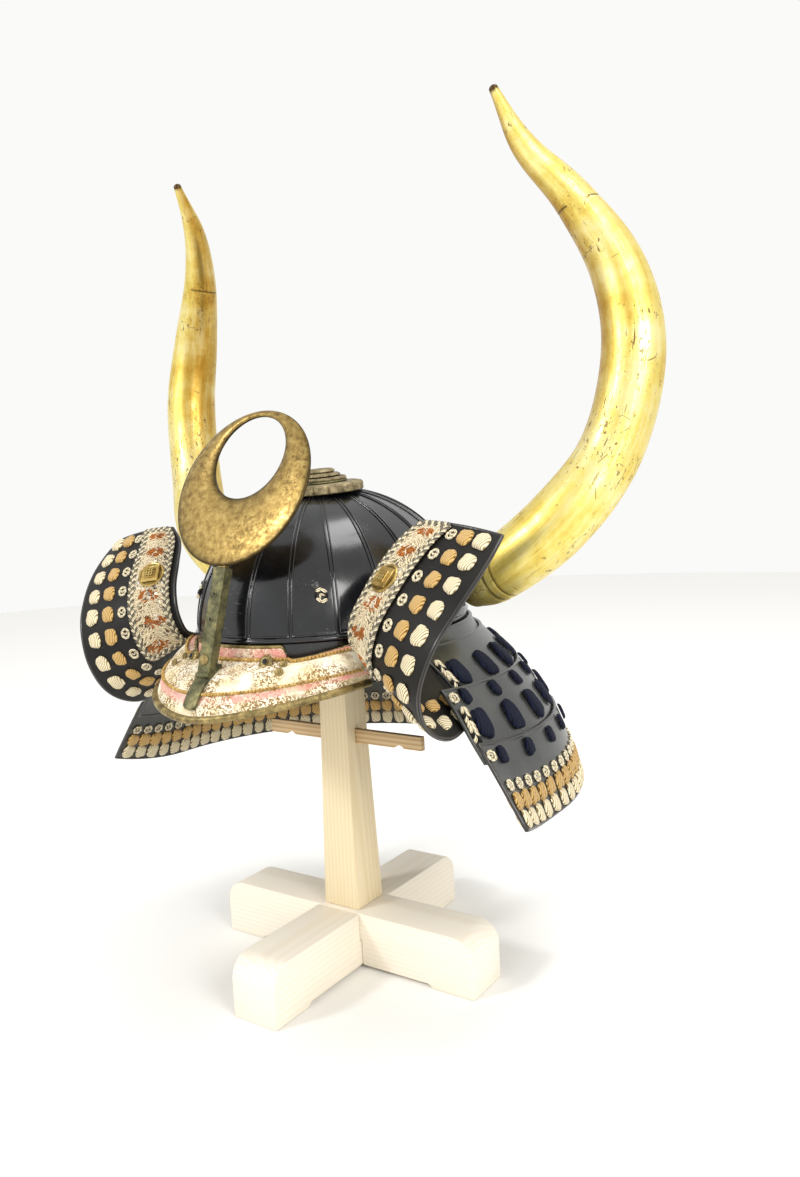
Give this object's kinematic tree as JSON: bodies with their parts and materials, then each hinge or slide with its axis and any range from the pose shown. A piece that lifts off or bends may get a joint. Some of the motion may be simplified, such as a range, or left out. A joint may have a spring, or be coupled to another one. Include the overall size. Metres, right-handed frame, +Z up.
{
  "type": "kabuto samurai helmet on a plain wooden stand",
  "caption": "Samurai helmet with a ribbed bowl, a ring crest, gilt horns, turned-back leaves and a flared neck guard, resting on a plain cross stand.",
  "frame": {"origin": "centre of the object's plan at floor height, under the stand", "axes": "+Z up, the face opening looks along -Y, the wearer's left is +X"},
  "size_m": [0.5356, 0.3838, 0.7077],
  "materials": {
    "black_lacquer": "black urushi lacquer over iron, glossy, with fine chips and scratches",
    "plate_lacquer": "black urushi lacquer, satin, rubbed to grey along the edges",
    "gold_leaf": "gold leaf over lacquered wood, satin, with small cracks and brown specks",
    "antique_gold": "gilt brass, worn, with dark patina at the edges",
    "aged_brass": "brass with an olive and brown patina",
    "gilt_copper": "gilt copper, worn",
    "printed_leather": "cream doeskin with a dappled brown and black stencilled pattern",
    "hinoki": "planed cypress, unfinished",
    "navy_braid": "flat silk braid, dark navy",
    "pale_braid": "flat silk braid, cream and tan, some of it checked with black"
  },
  "bodies": {
    "root": {"base_board_side": "hinoki", "base_board_front": "hinoki", "post": "hinoki", "crossbar": "hinoki", "post_pad": "hinoki", "bowl": "black_lacquer", "waist_band": "black_lacquer", "bowl_stud_left": "black_lacquer", "bowl_stud_right": "black_lacquer", "crown_flange": "aged_brass", "crown_rope": "aged_brass", "crown_collar": "aged_brass", "crown_cap": "aged_brass", "visor": "printed_leather", "visor_rim": "aged_brass", "visor_rosette_left": "aged_brass", "visor_rosette_right": "aged_brass", "visor_stud_upper_left": "aged_brass", "visor_stud_upper_right": "aged_brass", "visor_stud_lower_left": "aged_brass", "visor_stud_lower_right": "aged_brass", "lame_1": "plate_lacquer", "lame_2": "plate_lacquer", "lame_3": "plate_lacquer", "lame_4": "plate_lacquer", "turnback_left": "plate_lacquer", "turnback_right": "plate_lacquer", "turnback_leather_left": "printed_leather", "turnback_leather_right": "printed_leather", "turnback_disc_left": "gilt_copper", "turnback_disc_right": "gilt_copper", "crest_socket": "aged_brass", "socket_rivet": "aged_brass", "crest_ring": "antique_gold", "horn_left": "gold_leaf", "horn_right": "gold_leaf", "horn_seat_left": "black_lacquer", "horn_seat_right": "black_lacquer"}
  },
  "joints": []
}
